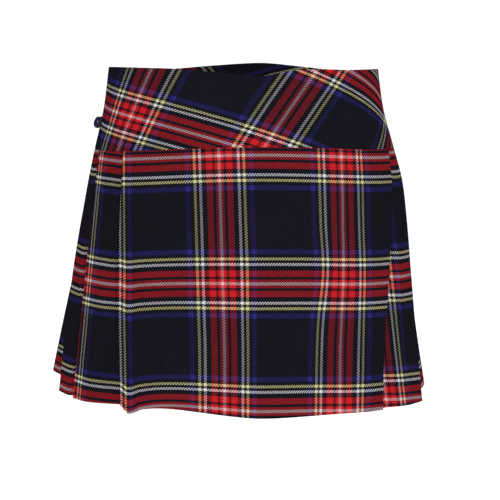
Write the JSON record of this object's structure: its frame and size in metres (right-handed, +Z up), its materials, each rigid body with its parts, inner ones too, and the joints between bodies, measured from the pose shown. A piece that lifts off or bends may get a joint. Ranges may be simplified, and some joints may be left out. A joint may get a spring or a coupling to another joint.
{
  "type": "pleated mini kilt",
  "caption": "Hollow mini kilt, filled out as worn, with a smooth bias-cut yoke, a flat front apron and knife pleats round both sides to the back.",
  "frame": {"origin": "middle of the waist opening, at the level of the rim, where the wearer's waist holds the kilt", "axes": "+Z up out of the waist, -Y towards the front apron, +X towards the wearer's left"},
  "size_m": [0.4098, 0.3208, 0.3665],
  "materials": {
    "yoke_cloth": "matt tartan twill, cut on the bias, black ground with red, blue, white and yellow",
    "skirt_cloth": "matt tartan twill on the straight grain, black ground with red, blue, white and yellow",
    "tab_cloth": "matt dark navy twill"
  },
  "bodies": {
    "root": {"yoke_front": "yoke_cloth", "yoke_back": "yoke_cloth", "front_apron": "skirt_cloth", "pleats_left": "skirt_cloth", "pleats_right": "skirt_cloth", "side_tab": "tab_cloth"}
  },
  "joints": []
}
